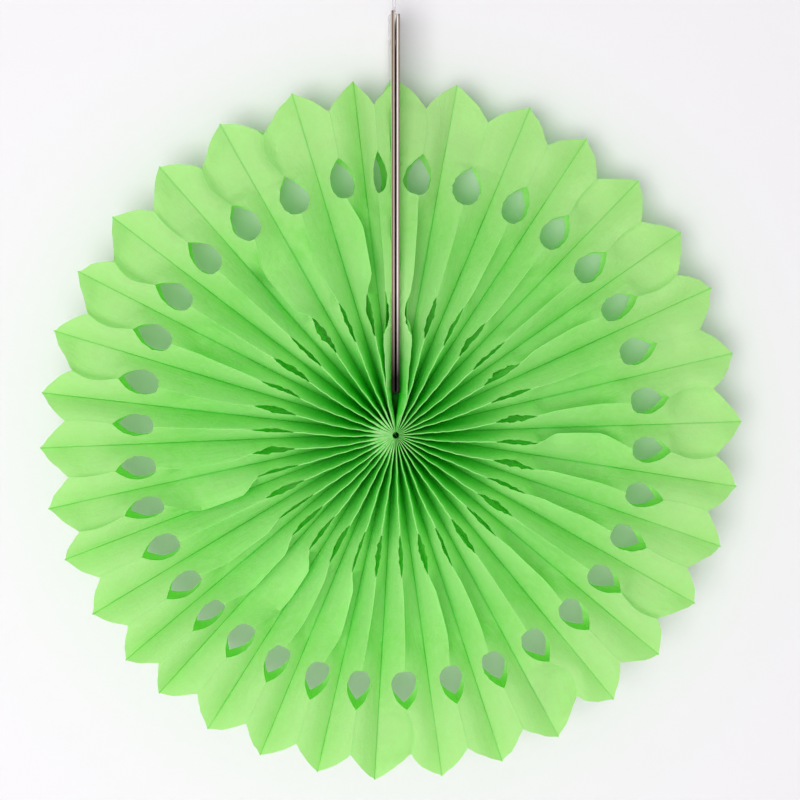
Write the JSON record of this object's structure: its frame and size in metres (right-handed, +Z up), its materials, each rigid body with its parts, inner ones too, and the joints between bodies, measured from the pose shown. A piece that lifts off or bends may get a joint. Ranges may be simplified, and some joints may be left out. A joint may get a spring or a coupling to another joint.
{
  "type": "paper fan rosette",
  "caption": "Round hanging decoration: a tissue-paper fan opened to a full circle, with pierced ridges and pointed petals, two card strips and a nylon hanging loop.",
  "frame": {"origin": "inside of the top of the hanging loop, where a hook takes it", "axes": "+Z up along the card strips, -Y the front of the fan, +X to the right as seen from the front"},
  "size_m": [0.2997, 0.03, 0.3528],
  "materials": {
    "green_tissue": "thin dyed tissue, matte and translucent",
    "chipboard": "brown-grey chipboard with a white lined face",
    "nylon_thread": "clear monofilament"
  },
  "bodies": {
    "root": {"tissue_rosette": "green_tissue", "left_card_strip": "chipboard", "right_card_strip": "chipboard", "card_tie": "nylon_thread", "thread_knot": "nylon_thread", "hanging_loop": "nylon_thread"}
  },
  "joints": []
}
